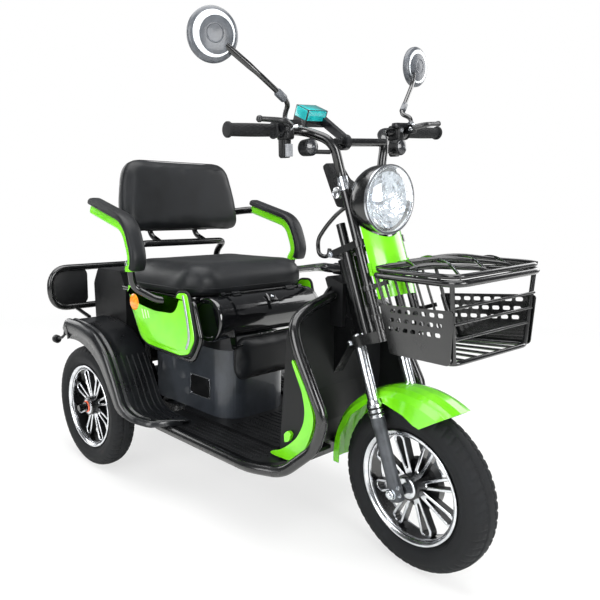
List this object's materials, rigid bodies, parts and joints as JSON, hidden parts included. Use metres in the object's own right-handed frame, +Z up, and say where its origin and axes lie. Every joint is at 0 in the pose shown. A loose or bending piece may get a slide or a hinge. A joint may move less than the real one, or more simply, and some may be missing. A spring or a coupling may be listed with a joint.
{
  "type": "electric tricycle",
  "caption": "Small electric tricycle with a steered front wheel, two rear wheels, flat floor, arm chair seat, storage drum with a lid and a wire basket with a lid on the fork.",
  "frame": {"origin": "on the ground under the middle of the vehicle's box, between the rear wheels and the front wheel", "axes": "+X forward, +Y to the rider's left, +Z up"},
  "size_m": [1.5489, 0.9054, 1.3173],
  "materials": {
    "black_paint": "satin black painted steel",
    "green_paint": "glossy lime green plastic",
    "black_plastic": "fine grained black plastic",
    "black_gloss": "glossy black plastic",
    "gunmetal": "dark grey moulded plastic",
    "black_leather": "black artificial leather over foam",
    "cast_grey": "black painted casting",
    "chrome": "polished chrome and silver sliders",
    "alloy": "black cast alloy with machined spoke edges",
    "rubber": "black rubber",
    "tyre": "black tyre with block tread",
    "red_lens": "red lens plastic",
    "amber_lens": "amber lens plastic",
    "clear_lens": "clear faceted lens",
    "mirror": "silvered mirror glass"
  },
  "bodies": {
    "frame": {"main_frame": "black_paint", "floor_pan": "black_plastic", "floor_rails": "black_paint", "leg_shield": "black_plastic", "shield_trims": "green_paint", "battery_box": "gunmetal", "side_panels": "green_paint", "storage_drum": "black_gloss", "seat_frame": "black_paint", "seat_cushion": "black_leather", "back_cushion": "black_leather", "arm_tubes": "green_paint", "arm_pads": "black_leather", "rear_fenders": "black_plastic", "rear_axle": "cast_grey", "drive_motor": "cast_grey", "rear_springs": "black_paint", "rear_cover": "black_plastic", "rear_hoop": "black_paint", "rear_lamps": "red_lens"},
    "storage_lid": {"storage_lid": "black_gloss"},
    "front_pad": {"front_pad": "black_leather"},
    "steering": {"fork_crown": "black_paint", "fork_tubes": "black_paint", "fork_legs": "chrome", "handlebar": "black_paint", "grips": "rubber", "brake_levers": "black_paint", "switches": "black_plastic", "dash": "black_plastic", "headlight": "black_gloss", "headlight_lens": "clear_lens", "cowl": "green_paint", "front_fender": "green_paint", "basket": "black_paint", "mirrors": "black_plastic", "mirror_glass": "mirror", "front_signals": "amber_lens"},
    "basket_lid": {"basket_lid": "black_paint"},
    "front_wheel": {"front_tyre": "tyre", "front_rim": "alloy"},
    "rear_wheel_right": {"right_tyre": "tyre", "right_rim": "alloy"},
    "rear_wheel_left": {"left_tyre": "tyre", "left_rim": "alloy"}
  },
  "joints": [
    {"name": "steering", "type": "hinge", "parent": "frame", "child": "steering", "pos_m": [0.52651, 0, 0.19232], "axis": [-0.3338, 0, 0.9426], "range_deg": [-31.2, 48.8]},
    {"name": "front_wheel_spin", "type": "hinge", "parent": "steering", "child": "front_wheel", "pos_m": [0.55911, -0.00536, 0.20386], "axis": [0.1442, 0.9882, 0.0511], "continuous": true},
    {"name": "rear_wheel_right_spin", "type": "hinge", "parent": "frame", "child": "rear_wheel_right", "pos_m": [-0.4775, -0.295, 0.204], "axis": [0, 1, 0], "continuous": true},
    {"name": "rear_wheel_left_spin", "type": "hinge", "parent": "frame", "child": "rear_wheel_left", "pos_m": [-0.4775, 0.295, 0.204], "axis": [0, 1, 0], "continuous": true},
    {"name": "storage_lid_hinge", "type": "hinge", "parent": "frame", "child": "storage_lid", "pos_m": [0.02445, 0, 0.62075], "axis": [0, -1, 0], "range_deg": [0, 80]},
    {"name": "front_pad_hinge", "type": "hinge", "parent": "frame", "child": "front_pad", "pos_m": [0.0675, 0, 0.478], "axis": [0, -1, 0], "range_deg": [0, 80]},
    {"name": "basket_lid_hinge", "type": "hinge", "parent": "steering", "child": "basket_lid", "pos_m": [0.50027, -0.02387, 0.72839], "axis": [-0.1442, -0.9882, -0.0511], "range_deg": [0, 60]}
  ]
}
